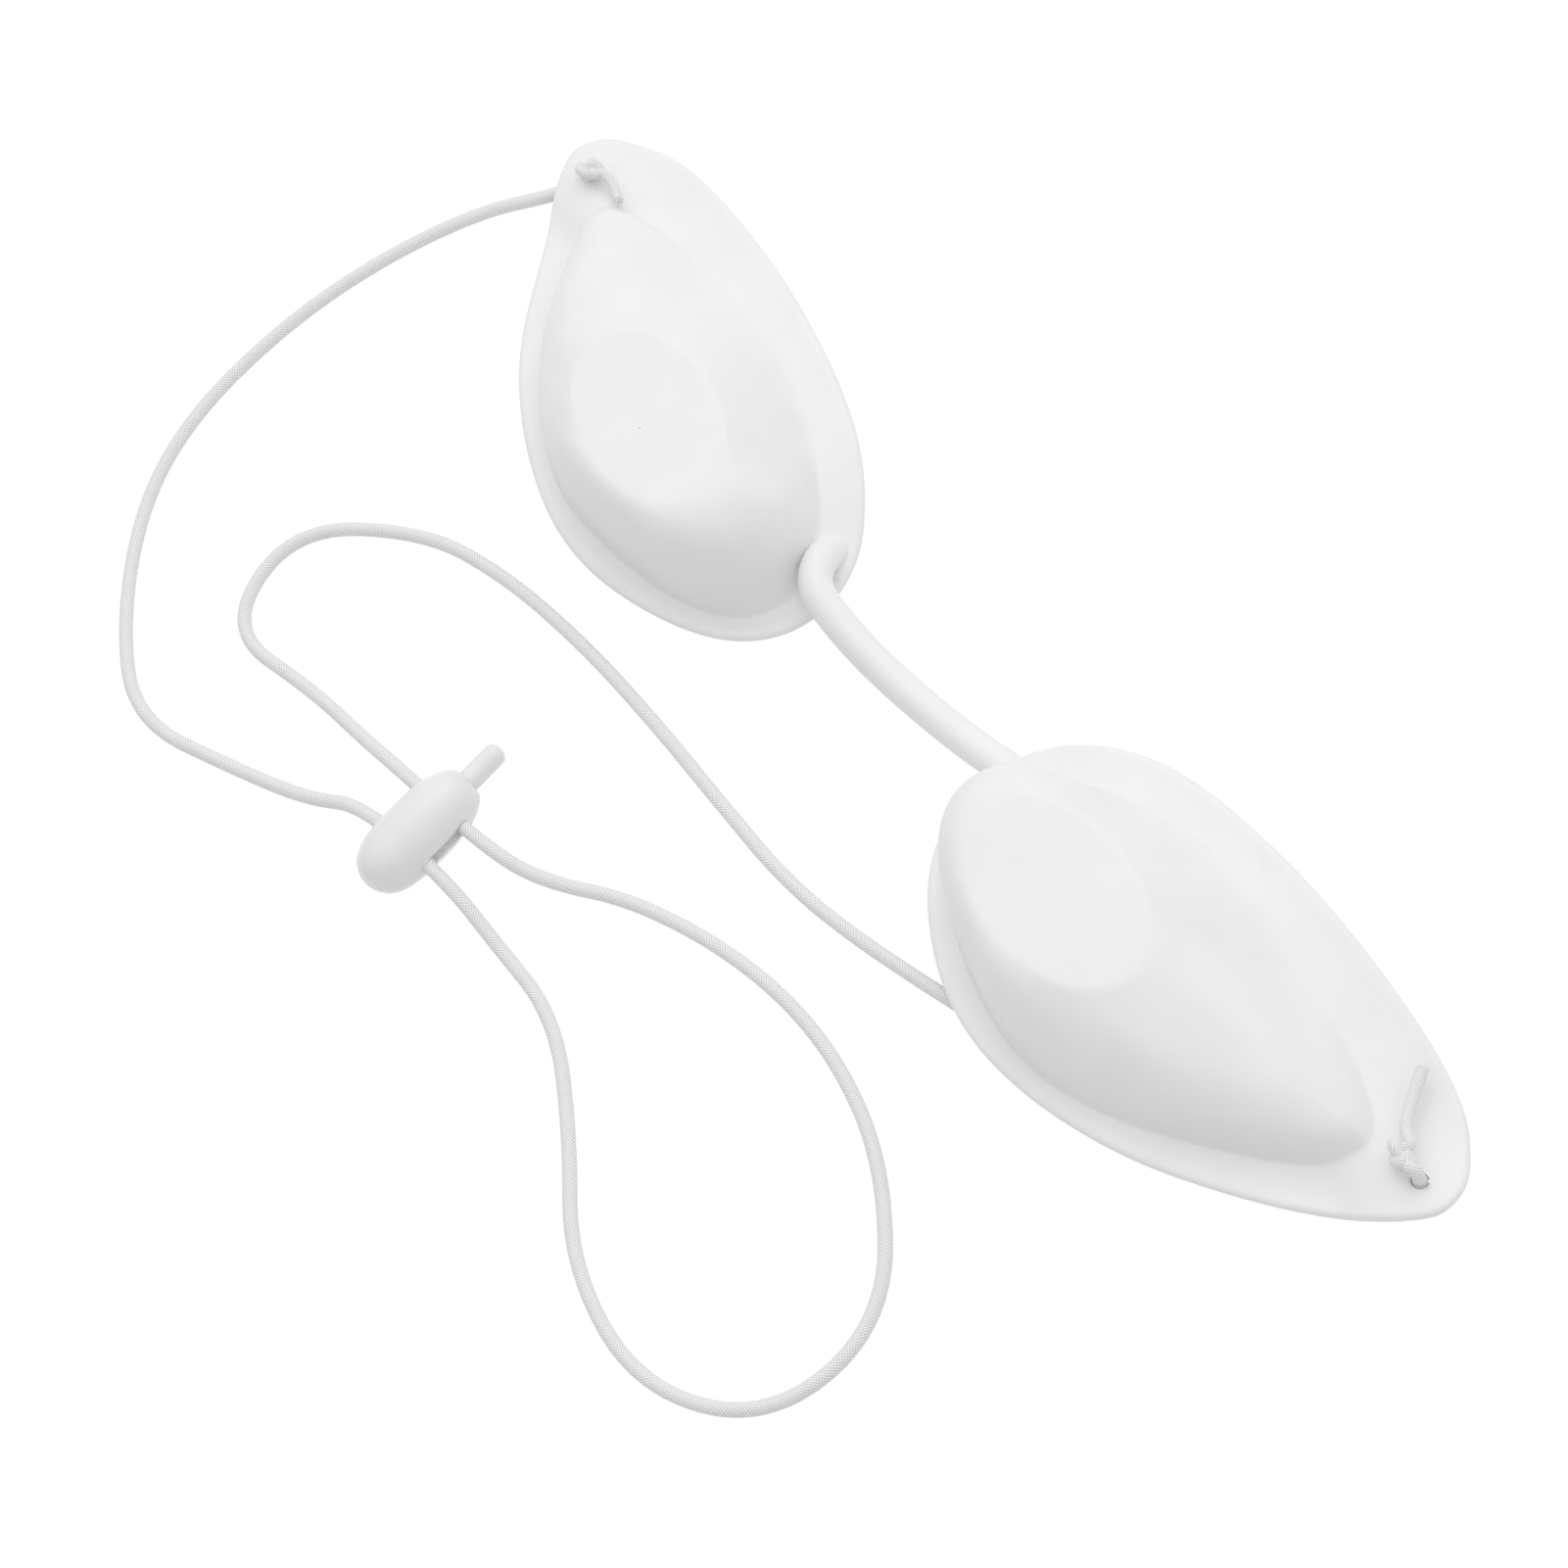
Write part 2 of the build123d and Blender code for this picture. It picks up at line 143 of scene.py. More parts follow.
strap_routes = {
    "strap_left_run": [
        (-0.0905, 0.0043, 0.0043), (-0.0905, 0.0043, 0.0009), (-0.0927, -0.0024, 0.0009),
        (-0.0969, -0.0110, 0.0009), (-0.0994, -0.0250, 0.0009), (-0.0992, -0.0405, 0.0009),
        (-0.0952, -0.0575, 0.0009), (-0.0873, -0.0696, 0.0009), (-0.0734, -0.0794, 0.0009),
        (-0.0588, -0.0846, 0.0009), (-0.0436, -0.0762, 0.0009), (-0.0338, -0.0702, 0.0011),
        (-0.0265, -0.0643, 0.0045), (-0.0182, -0.0622, 0.0045),
    ],
    "strap_tail_loop": [
        (-0.0182, -0.0622, 0.0045), (-0.0099, -0.0601, 0.0045), (-0.0020, -0.0593, 0.0012),
        (0.0116, -0.0576, 0.0009), (0.0260, -0.0632, 0.0009), (0.0404, -0.0710, 0.0009),
        (0.0583, -0.0713, 0.0009), (0.0708, -0.0603, 0.0009), (0.0685, -0.0432, 0.0009),
        (0.0522, -0.0338, 0.0009), (0.0360, -0.0315, 0.0009), (0.0203, -0.0343, 0.0009),
        (0.0044, -0.0418, 0.0009), (-0.0048, -0.0504, 0.0015), (-0.0115, -0.0540, 0.0045),
        (-0.0198, -0.0561, 0.0045),
    ],
    "strap_right_run": [
        (-0.0198, -0.0561, 0.0045), (-0.0282, -0.0582, 0.0045), (-0.0362, -0.0602, 0.0014),
        (-0.0470, -0.0627, 0.0009), (-0.0628, -0.0686, 0.0009), (-0.0706, -0.0544, 0.0009),
        (-0.0587, -0.0402, 0.0009), (-0.0460, -0.0344, 0.0009), (-0.0310, -0.0307, 0.0009),
        (-0.0160, -0.0285, 0.0009), (-0.0010, -0.0270, 0.0009), (0.0140, -0.0254, 0.0009),
        (0.0285, -0.0210, 0.0009), (0.0430, -0.0150, 0.0009),
    ],
    "strap_right_end": [
        (0.0430, -0.0150, 0.0009), (0.0555, -0.0098, 0.0009), (0.0670, 0.0005, 0.0009),
        (0.0775, 0.0090, 0.0009), (0.0844, 0.0131, 0.0009), (0.0905, 0.0155, 0.0009),
        (0.0905, 0.0155, 0.0043),
    ],
}
# The strap's free lengths, and where each comes out of a hole
strap_lengths = {
    "strap_left_run": (0.1592, (-0.0905, 0.0043, 0.0043)),
    "strap_tail_loop": (0.2082, (-0.0182, -0.0622, 0.0045)),
    "strap_right_run": (0.1809, (-0.0198, -0.0561, 0.0045)),
    "strap_right_end": (0.0597, (0.0905, 0.0155, 0.0043)),
}
# Strap runs that lie between two bodies: the bodies, and the two ends of the stretch between them
strap_bends = {
    "strap_right_run": ("root", "nose_bridge", (-0.03, -0.06, 0), (0.03, -0.02, 0)),
    "strap_right_end": ("nose_bridge", "right_cup", (0.045, -0.014, 0), (0.080, 0.011, 0)),
}

# Cut tails: the way from the hole to the knot, the knot's middle and turn, and the way on to the cut end
knot_ways = {
    "left_knot": {
        "start": [(-0.0905, 0.0043, 0.0043), (-0.0899, 0.0036, 0.0048)],
        "middle": (-0.0887, 0.0033, 0.0059),
        "turn": 0.0,
        "end": [
            (-0.0874, 0.0046, 0.0061), (-0.0856, 0.0050, 0.0058), (-0.0838, 0.0046, 0.0055),
            (-0.0823, 0.0043, 0.0056),
        ],
        "diameter": 0.0013,
    },
    "right_knot": {
        "start": [(0.0905, 0.0155, 0.0043), (0.0905, 0.0157, 0.0069), (0.0893, 0.0150, 0.0071)],
        "middle": (0.0876, 0.0157, 0.0064),
        "turn": 90.0,
        "end": [
            (0.0860, 0.0170, 0.0064), (0.0842, 0.0182, 0.0060), (0.0822, 0.0205, 0.0058),
            (0.0803, 0.0229, 0.0060),
        ],
        "diameter": 0.0015,
    },
}
tuft_yarns = 26
tuft_length = 0.0012
tuft_yarn_radius = 0.00007
tuft_root_inset = 0.0003
tuft_sides = 6
tuft_steps = 5
tuft_turn_share = 0.381966
tuft_root_share = 0.4
tuft_length_shares = (0.45, 1.0)
tuft_lean_shares = (0.2, 0.9)
tuft_lift_shares = (-0.1, 0.3)
tuft_bend_share = 0.25
tuft_taper_share = 0.6

# Nose rod
rod_diameter = 0.0043
rod_sides = 48
rod_spacing = 0.0004
rod_route = [
    (-0.0217, 0.0016, 0.0015), (-0.0204, 0.0001, 0.0047), (-0.0166, -0.0031, 0.0056),
    (-0.0114, -0.0030, 0.0046), (-0.0041, -0.0020, 0.0031), (0.0048, 0.0000, 0.0026),
    (0.0125, 0.0021, 0.0025), (0.0176, 0.0039, 0.0024), (0.0200, 0.0048, 0.0017), (0.0222, 0.0056, 0.0015),
]
# How far the rod's foot on each cup reaches, and how much wider it gets across and over
root_reach = 0.004
left_root_shares = (0.4, 0.2)
right_root_shares = (0.8, -0.5)
rod_middle_x = -0.0035
# Two stretches of the rod, by the left cup and by the right one: the two ends of each
left_bend = ((-0.0212, 0.0018, 0.0045), (-0.0125, -0.0032, 0.005))
right_bend = ((0.0125, 0.0021, 0.0025), (0.0185, 0.0042, 0.0025))

# Cord lock: a bean whose long axis lies level. Profile: distance from its base, and radius
lock_origin = Vector((-0.0164, -0.0695, 0.0045))
lock_heading = 104.2
lock_sides = 64
bean_profile = [
    (0.0015, 0.0020), (0.0014, 0.00245), (0.0017, 0.0028), (0.0023, 0.0033), (0.0034, 0.0039),
    (0.0049, 0.0043), (0.0066, 0.00448), (0.0092, 0.00454), (0.0118, 0.00450), (0.0140, 0.00430),
    (0.0157, 0.00388), (0.0170, 0.00328), (0.0179, 0.0027), (0.0183, 0.0021), (0.0184, 0.0017),
]
plug_profile = [
    (0.0018, 0.0022), (0.0017, 0.0024), (0.0015, 0.0024), (0.0014, 0.00234), (0.0010, 0.0018),
    (0.0007, 0.0010), (0.0006, 0.0004),
]
pass_places = (0.0075, 0.0138)
pass_radius = 0.00095
mouth_radius = 0.00105
mouth_depth = 0.0005
chamber_radius = 0.00245
chamber_length = 0.0179
nose_hole_radius = 0.00155
slot_depth = 0.0009
slot_height = 0.0017
spring_wire = 0.00035
spring_radius = 0.001625
spring_turns = 3
spring_steps = 40
spring_start = 0.002025
spring_end = 0.004875

# Overhand knot, pulled tight: points in units of about half a millimetre, from the cup's side to the tail's
knot_points = [
    (-1.25, -1.9, -1.0), (-0.9, 0.5, 0.0), (1.0, 2.1, 1.0), (2.6, 1.5, 0.0), (2.3, -0.2, -1.0),
    (0.0, -1.0, 0.0), (-2.3, -0.2, 1.0), (-2.6, 1.5, 0.0), (-1.0, 2.1, -1.0), (0.9, 0.5, 0.0),
    (1.25, -1.9, 1.0),
]
knot_unit = 0.00052
knot_sideways = Vector((0.603, 0.798, 0.0))
knot_upwards = Vector((-0.87, 0.49, 0.0))

# Edges sharper than this stay crisp on each kind of piece
rod_edge_angle = 40
bean_edge_angle = 32
plug_edge_angle = 40

# Table, light and camera
table_size = 6.0
table_level = -0.0001
table_glow_strength = 1.05
table_glow_share = 0.18
table_seen_share = 0.72
tent_direction = (-0.22, 0.22, 0.95)
tent_facing_shares = (-0.1, 1.0)
tent_strengths = (0.36, 1.45)
lamp_place = (-0.30, 0.30, 0.75)
lamp_size = 0.6
lamp_power = 0.8
camera_place = (0.2633346, -0.0192507, 0.4536968)
camera_right = Vector((0.47420366, 0.83676431, -0.27378161))
camera_up = Vector((-0.72465915, 0.54756322, 0.41838216))
camera_back = Vector((0.5, 0.0, 0.8660254))
camera_sensor_width = 36.0
camera_clip_start = 0.01
camera_clip_end = 20.0
photo_focal_pixels = 4400
photo_width_pixels = 1601


def linear_colour(code):
    """A material colour from its sRGB hex value."""
    shares = [int(code[place:place + 2], 16) / 255 for place in (0, 2, 4)]
    linear = [share / 12.92 if share <= 0.04045 else ((share + 0.055) / 1.055) ** 2.4 for share in shares]
    return (*linear, 1.0)


def add_node(tree, kind, settings=None, links=None):
    """A node with its properties or socket values set, and its inputs joined to other nodes' outputs."""
    node = tree.nodes.new(kind)
    for name, value in (settings or {}).items():
        if isinstance(name, int) or name in node.inputs:
            node.inputs[name].default_value = value
        else:
            setattr(node, name, value)
    for name, source in (links or {}).items():
        tree.links.new(source, node.inputs[name])
    return node


def new_material(name):
    material = bpy.data.materials.new(name)
    material.use_nodes = True
    tree = material.node_tree
    tree.nodes.clear()
    return material, tree


def silicone_moulded():
    """White silicone rubber, press-moulded in a satin tool: soft sheen, faint clouding, a few dust specks."""
    cloud_size = 0.007
    speck_spacing = 0.0095
    speck_share = 0.013
    grain_size = 0.0004
    material, tree = new_material("silicone_moulded")
    place = add_node(tree, "ShaderNodeTexCoord").outputs["Object"]
    cloud = add_node(tree, "ShaderNodeTexNoise", {"Scale": 1 / cloud_size, "Detail": 3.0}, {"Vector": place})
    tint = add_node(tree, "ShaderNodeValToRGB", links={"Fac": cloud.outputs["Fac"]})
    tint.color_ramp.elements[0].position = 0.3
    tint.color_ramp.elements[0].color = linear_colour("f1f1f1")
    tint.color_ramp.elements[1].position = 0.7
    tint.color_ramp.elements[1].color = linear_colour("f4f4f4")
    specks = add_node(tree, "ShaderNodeTexVoronoi", {"Scale": 1 / speck_spacing}, {"Vector": place})
    near = add_node(
        tree, "ShaderNodeMath", {"operation": "LESS_THAN", 1: speck_share}, {0: specks.outputs["Distance"]}
    )
    colour = add_node(
        tree,
        "ShaderNodeMix",
        {"data_type": "RGBA", 7: linear_colour("c6c6c4")},
        {0: near.outputs[0], 6: tint.outputs["Color"]},
    )
    sheen = add_node(
        tree, "ShaderNodeMapRange", {"To Min": 0.40, "To Max": 0.50}, {"Value": cloud.outputs["Fac"]}
    )
    grain = add_node(tree, "ShaderNodeTexNoise", {"Scale": 1 / grain_size, "Detail": 2.0}, {"Vector": place})
    bump = add_node(
        tree, "ShaderNodeBump", {"Strength": 0.08, "Distance": 0.0001}, {"Height": grain.outputs["Fac"]}
    )
    shader = add_node(
        tree,
        "ShaderNodeBsdfPrincipled",
        {"IOR": 1.41},
        {
            "Base Color": colour.outputs[2],
            "Roughness": sheen.outputs["Result"],
            "Normal": bump.outputs["Normal"],
        },
    )
    add_node(tree, "ShaderNodeOutputMaterial", links={"Surface": shader.outputs["BSDF"]})
    return material


def polyester_braid():
    """White polyester yarn braided over the rubber: yarns cross in small diamonds, with painted shade in the
    gaps between them.
    """
    material, tree = new_material("polyester_braid")
    lay = add_node(tree, "ShaderNodeUVMap", {"uv_map": "lay"}).outputs["UV"]
    parts = add_node(tree, "ShaderNodeSeparateXYZ", links={"Vector": lay})
    waves = []
    for direction in (1, -1):
        yarn = add_node(
            tree,
            "ShaderNodeMath",
            {"operation": "MULTIPLY_ADD", 1: direction * math.tau * braid_yarns / braid_pitch / 2},
            {0: parts.outputs["X"]},
        )
        turn = add_node(
            tree,
            "ShaderNodeMath",
            {"operation": "MULTIPLY", 1: math.pi * braid_yarns},
            {0: parts.outputs["Y"]},
        )
        tree.links.new(turn.outputs[0], yarn.inputs[2])
        wave = add_node(tree, "ShaderNodeMath", {"operation": "COSINE"}, {0: yarn.outputs[0]})
        waves.append(add_node(tree, "ShaderNodeMath", {"operation": "ABSOLUTE"}, {0: wave.outputs[0]}))
    crown = add_node(
        tree, "ShaderNodeMath", {"operation": "MULTIPLY"}, {0: waves[0].outputs[0], 1: waves[1].outputs[0]}
    )
    # Yarn crowns are white; the grey towards the gaps between yarns is painted shade
    tint = add_node(tree, "ShaderNodeValToRGB", links={"Fac": crown.outputs[0]})
    tint.color_ramp.elements[0].position = 0.0
    tint.color_ramp.elements[0].color = linear_colour("c2c2c1")
    tint.color_ramp.elements[1].position = 0.35
    tint.color_ramp.elements[1].color = linear_colour("fbfbfa")
    bump = add_node(
        tree, "ShaderNodeBump", {"Strength": 0.5, "Distance": 0.0001}, {"Height": crown.outputs[0]}
    )
    shader = add_node(
        tree,
        "ShaderNodeBsdfPrincipled",
        {"Roughness": 0.62, "Sheen Weight": 0.15},
        {"Base Color": tint.outputs["Color"], "Normal": bump.outputs["Normal"]},
    )
    add_node(tree, "ShaderNodeOutputMaterial", links={"Surface": shader.outputs["BSDF"]})
    return material


def plastic_moulded_glossy():
    """White polypropylene from a polished mould: a clear highlight over a faintly uneven skin."""
    flow_size = 0.004
    material, tree = new_material("plastic_moulded_glossy")
    place = add_node(tree, "ShaderNodeTexCoord").outputs["Object"]
    flow = add_node(tree, "ShaderNodeTexNoise", {"Scale": 1 / flow_size, "Detail": 2.0}, {"Vector": place})
    tint = add_node(tree, "ShaderNodeValToRGB", links={"Fac": flow.outputs["Fac"]})
    tint.color_ramp.elements[0].color = linear_colour("eaeaea")
    tint.color_ramp.elements[1].color = linear_colour("f0f0f0")
    sheen = add_node(
        tree, "ShaderNodeMapRange", {"To Min": 0.14, "To Max": 0.24}, {"Value": flow.outputs["Fac"]}
    )
    bump = add_node(
        tree, "ShaderNodeBump", {"Strength": 0.05, "Distance": 0.0005}, {"Height": flow.outputs["Fac"]}
    )
    shader = add_node(
        tree,
        "ShaderNodeBsdfPrincipled",
        {"IOR": 1.49},
        {
            "Base Color": tint.outputs["Color"],
            "Roughness": sheen.outputs["Result"],
            "Normal": bump.outputs["Normal"],
        },
    )
    add_node(tree, "ShaderNodeOutputMaterial", links={"Surface": shader.outputs["BSDF"]})
    return material


def spring_steel_drawn():
    """Drawn spring steel wire: grey metal with a fine mottle from the draw."""
    mottle_size = 0.0003
    material, tree = new_material("spring_steel_drawn")
    place = add_node(tree, "ShaderNodeTexCoord").outputs["Object"]
    mottle = add_node(tree, "ShaderNodeTexNoise", {"Scale": 1 / mottle_size}, {"Vector": place})
    tint = add_node(tree, "ShaderNodeValToRGB", links={"Fac": mottle.outputs["Fac"]})
    tint.color_ramp.elements[0].color = linear_colour("8d9094")
    tint.color_ramp.elements[1].color = linear_colour("b4b6b9")
    shader = add_node(
        tree,
        "ShaderNodeBsdfPrincipled",
        {"Metallic": 1.0, "Roughness": 0.3},
        {"Base Color": tint.outputs["Color"]},
    )
    add_node(tree, "ShaderNodeOutputMaterial", links={"Surface": shader.outputs["BSDF"]})
    return material


def clear_selection():
    if bpy.context.object and bpy.context.object.mode != "OBJECT":
        bpy.ops.object.mode_set(mode="OBJECT")
    bpy.ops.object.select_all(action="DESELECT")


def set_material(piece, material):
    piece.data.materials.clear()
    piece.data.materials.append(material)


def skin_rings(name, rings):
    """A closed skin through rings of points: a circle, extruded once for each further ring."""
    clear_selection()
    bpy.ops.mesh.primitive_circle_add(vertices=len(rings[0]))
    piece = bpy.context.object
    piece.name = name
    bpy.ops.object.mode_set(mode="EDIT")
    bpy.ops.mesh.select_all(action="SELECT")
    mesh = bmesh.from_edit_mesh(piece.data)
    for number, ring in enumerate(rings):
        if number:
            bpy.ops.mesh.extrude_region_move()
            mesh = bmesh.from_edit_mesh(piece.data)
        mesh.verts.ensure_lookup_table()
        first = number * len(ring)
        for vertex, point in zip(mesh.verts[first:first + len(ring)], ring):
            vertex.co = point
        bmesh.update_edit_mesh(piece.data)
    bpy.ops.mesh.extrude_region_move()
    bpy.ops.mesh.merge(type="CENTER")
    bpy.ops.mesh.select_all(action="DESELECT")
    mesh = bmesh.from_edit_mesh(piece.data)
    mesh.verts.ensure_lookup_table()
    for vertex in mesh.verts[:len(rings[0])]:
        vertex.select = True
    mesh.select_flush(True)
    bmesh.update_edit_mesh(piece.data)
    bpy.ops.mesh.extrude_region_move()
    bpy.ops.mesh.merge(type="CENTER")
    bpy.ops.mesh.select_all(action="SELECT")
    bpy.ops.mesh.normals_make_consistent(inside=False)
    bpy.ops.object.mode_set(mode="OBJECT")
    bpy.ops.object.shade_smooth()
    return piece


def subdivide_surface(piece, levels):
    clear_selection()
    piece.select_set(True)
    bpy.context.view_layer.objects.active = piece
    rounding = piece.modifiers.new("rounding", "SUBSURF")
    rounding.levels = levels
    rounding.render_levels = levels
    bpy.ops.object.modifier_apply(modifier=rounding.name)


def cut_out(piece, cutter):
    clear_selection()
    piece.select_set(True)
    bpy.context.view_layer.objects.active = piece
    cut = piece.modifiers.new("cut", "BOOLEAN")
    cut.operation = "DIFFERENCE"
    cut.solver = "EXACT"
    cut.object = cutter
    bpy.ops.object.modifier_apply(modifier=cut.name)
    bpy.data.objects.remove(cutter)


def ease(share):
    held = min(max(share, 0.0), 1.0)
    return held * held * (3.0 - 2.0 * held)


def fill_in(shares, steps):
    """Smooth closed line through the given shares, with a number of points for each of them."""
    count = len(shares)
    points = []
    for place in range(count):
        before, here, after, beyond = (Vector(shares[(place + step) % count]) for step in (-1, 0, 1, 2))
        for step in range(steps):
            t = step / steps
            pull = (after - before) * 0.5
            follow = (beyond - here) * 0.5
            points.append(
                here * (2 * t**3 - 3 * t**2 + 1)
                + pull * (t**3 - 2 * t**2 + t)
                + after * (3 * t**2 - 2 * t**3)
                + follow * (t**3 - t**2)
            )
    return points


def top_point(foot):
    """Where the line from the middle of the flat top to a point of the dome's foot leaves the top's oval."""
    ray = foot - top_centre
    level = ray.copy()
    level.rotate(Matrix.Rotation(math.radians(-top_turn), 2))
    return top_centre + ray / math.hypot(2 * level.x / top_length, 2 * level.y / top_width)


def distance_to_foot(point, foot_line):
    nearest = cup_length
    for start, end in zip(foot_line, foot_line[1:] + foot_line[:1]):
        run = end - start
        share = min(max((point - start).dot(run) / run.dot(run), 0.0), 1.0)
        nearest = min(nearest, (point - start - run * share).length)
    return nearest


def dome_wall(foot, foot_height, foot_line):
    """Points up the dome: a rounded wall under a lid that falls to the tip, or the brow's long slope."""
    top = top_point(foot)
    ray = foot - top_centre
    ahead = ray.x / ray.length
    sideways = ray.y / ray.length
    gain, offset = tip_brow_shares if ahead > 0 else inner_brow_shares
    brow = ease(gain * sideways + offset)
    rise = cup_height - foot_height
    rounding = wall_round + (end_round - wall_round) * ease(end_round_shares[0] * ahead + end_round_shares[1])
    rounding = min(rounding, distance_to_foot(top, foot_line))
    lid_slope = lid_fall_share * (lid_inner_share + (1 - lid_inner_share) * ease(lid_turn_share * ahead))
    points = []
    for along, up in zip(level_shares, brow_rise_shares):
        point = foot.lerp(top, along)
        depth = min(distance_to_foot(point, foot_line) / rounding, 1.0)
        fall = lid_slope * (top - point).length
        bulge = (1 - (1 - depth) ** wall_fullness) ** (1 / wall_fullness)
        wall = (rise - fall) * bulge * ease(depth / foot_round_share)
        points.append((point, foot_height + wall * (1 - brow) + rise * up * brow))
    return points, top


def cup_profile(rim_share, foot, foot_line):
    """Outer surface from the rim's underside to the middle of the flat top, in one direction."""
    rim = Vector((rim_share.x * cup_length / 2, rim_share.y * cup_width))
    rise = max(rim_share.z, 0.0) * rim_lift
    inward = (foot - rim).normalized()
    points = [
        (rim + inward * rim_round, rise),
        (rim, rise + rim_edge_shares[0] * cup_wall),
        (rim, rise + rim_edge_shares[1] * cup_wall),
        (rim + inward * rim_round, rise + cup_wall),
        (rim + inward * rim_edge_inset, rise + cup_wall),
    ]
    flange_height = flange_lift_share * rise + cup_wall + flange_foot_share * dome_foot_rise
    points.append((rim.lerp(foot, flange_middle_share), flange_height))
    wall, top = dome_wall(foot, foot_lift_share * rise + cup_wall + dome_foot_rise, foot_line)
    points += wall
    for share in top_ring_shares:
        points.append((top_centre.lerp(top, share), cup_height))
    return [Vector((point.x, point.y, height)) for point, height in points]


def under_profile(before, outer, after):
    """Inner surface, one wall under the outer one, from the middle of the flange to that of the ceiling."""
    points = []
    for place in range(flange_place, len(outer)):
        climb = outer[min(place + 1, len(outer) - 1)] - outer[place - 1]
        normal = (after[place] - before[place]).cross(climb).normalized()
        points.append(outer[place] - normal * cup_wall)
    return points


def place_on_cup(point, cup):
    """From a cup's own frame to the goggles' frame."""
    inner_end, heading, side = cup_places[cup]
    turn = Matrix.Rotation(math.radians(heading), 3, "Z")
    return turn @ Vector((point.x + cup_length / 2, point.y * side, point.z)) + inner_end.to_3d()


def make_cup(cup):
    foot_line = [
        Vector((dome_centre_x + share.x * dome_length / 2, share.y * (cup_width - side_flange_width)))
        for share in fill_in(foot_shares, points_per_share)
    ]
    rim_line = fill_in(rim_shares, points_per_share)
    outer = [cup_profile(rim_share, foot, foot_line) for rim_share, foot in zip(rim_line, foot_line)]
    under = [
        under_profile(outer[place - 1], outer[place], outer[(place + 1) % len(outer)])
        for place in range(len(outer))
    ]
    rings = list(reversed(list(zip(*under)))) + list(zip(*outer))
    piece = skin_rings(f"{cup}_shell", [[place_on_cup(point, cup) for point in ring] for ring in rings])
    subdivide_surface(piece, cup_rounding_levels)
    hole = place_on_cup(Vector((cup_length / 2 - strap_hole_inset, strap_hole_y, 2 * cup_wall)), cup)
    clear_selection()
    bpy.ops.mesh.primitive_cylinder_add(
        vertices=48, radius=strap_hole_radius, depth=4 * cup_wall, location=hole
    )
    cut_out(piece, bpy.context.object)
    return piece


def centreline(points, spacing):
    """Evenly spaced points along the smooth line that a route's points control."""
    curve = bpy.data.curves.new("route", "CURVE")
    curve.dimensions = "3D"
    curve.resolution_u = 48
    spline = curve.splines.new("NURBS")
    spline.points.add(len(points) - 1)
    for held, point in zip(spline.points, points):
        held.co = (*point, 1.0)
    spline.order_u = 3
    spline.use_endpoint_u = True
    carrier = bpy.data.objects.new("route", curve)
    bpy.context.scene.collection.objects.link(carrier)
    bpy.context.view_layer.update()
    mesh = bpy.data.meshes.new_from_object(carrier.evaluated_get(bpy.context.evaluated_depsgraph_get()))
    line = [vertex.co.copy() for vertex in mesh.vertices]
    bpy.data.objects.remove(carrier)
    bpy.data.curves.remove(curve)
    bpy.data.meshes.remove(mesh)
    return space_evenly(line, spacing)


def space_evenly(line, spacing):
    lengths = [0.0]
    for before, after in zip(line, line[1:]):
        lengths.append(lengths[-1] + (after - before).length)
    count = max(2, round(lengths[-1] / spacing))
    points = []
    place = 0
    for step in range(count + 1):
        target = lengths[-1] * step / count
        while place < len(line) - 2 and lengths[place + 1] < target:
            place += 1
        run = lengths[place + 1] - lengths[place]
        share = (target - lengths[place]) / run if run else 0.0
        points.append(line[place].lerp(line[place + 1], min(max(share, 0.0), 1.0)))
    return points


def frames_along(line):
    """For each point of a line its direction and two directions across it, without twist."""
    frames = []
    across = None
    for place, point in enumerate(line):
        before = line[max(place - 1, 0)]
        after = line[min(place + 1, len(line) - 1)]
        along = (after - before).normalized()
        if across is None:
            guide = Vector((0, 0, 1)) if abs(along.z) < 0.9 else Vector((1, 0, 0))
            across = along.cross(guide).normalized()
        across = (across - along * across.dot(along)).normalized()
        frames.append((along, across, along.cross(across)))
    return frames


def cord_tube(name, line, diameter):
    """Round tube along a line. Its UV map holds metres along and turns around, for the braid."""
    vertices = []
    faces = []
    lay = []
    travelled = 0.0
    for place, (point, (_, across, over)) in enumerate(zip(line, frames_along(line))):
        if place:
            travelled += (point - line[place - 1]).length
        for side in range(braid_sides):
            turn = math.tau * side / braid_sides
            vertices.append(point + (across * math.cos(turn) + over * math.sin(turn)) * diameter / 2)
            lay.append((travelled, side / braid_sides))
    for place in range(len(line) - 1):
        for side in range(braid_sides):
            here = place * braid_sides + side
            beside = place * braid_sides + (side + 1) % braid_sides
            faces.append((here, beside, beside + braid_sides, here + braid_sides))
    ends = len(vertices)
    vertices += [line[0], line[-1]]
    lay += [(0.0, 0.5), (travelled, 0.5)]
    for side in range(braid_sides):
        after = (side + 1) % braid_sides
        last = ends - braid_sides
        faces.append((ends, after, side))
        faces.append((ends + 1, last + side, last + after))
    mesh = bpy.data.meshes.new(name)
    mesh.from_pydata(vertices, [], faces)
    uv_map = mesh.uv_layers.new(name="lay")
    for loop in mesh.loops:
        along, turn = lay[loop.vertex_index]
        uv_map.data[loop.index].uv = (along, turn)
    for polygon in mesh.polygons:
        polygon.use_smooth = True
        turns = [uv_map.data[index].uv.y for index in polygon.loop_indices]
        if max(turns) - min(turns) > 0.5:
            for index in polygon.loop_indices:
                if uv_map.data[index].uv.y < 0.25:
                    uv_map.data[index].uv.y += 1.0
    piece = bpy.data.objects.new(name, mesh)
    bpy.context.scene.collection.objects.link(piece)
    return piece


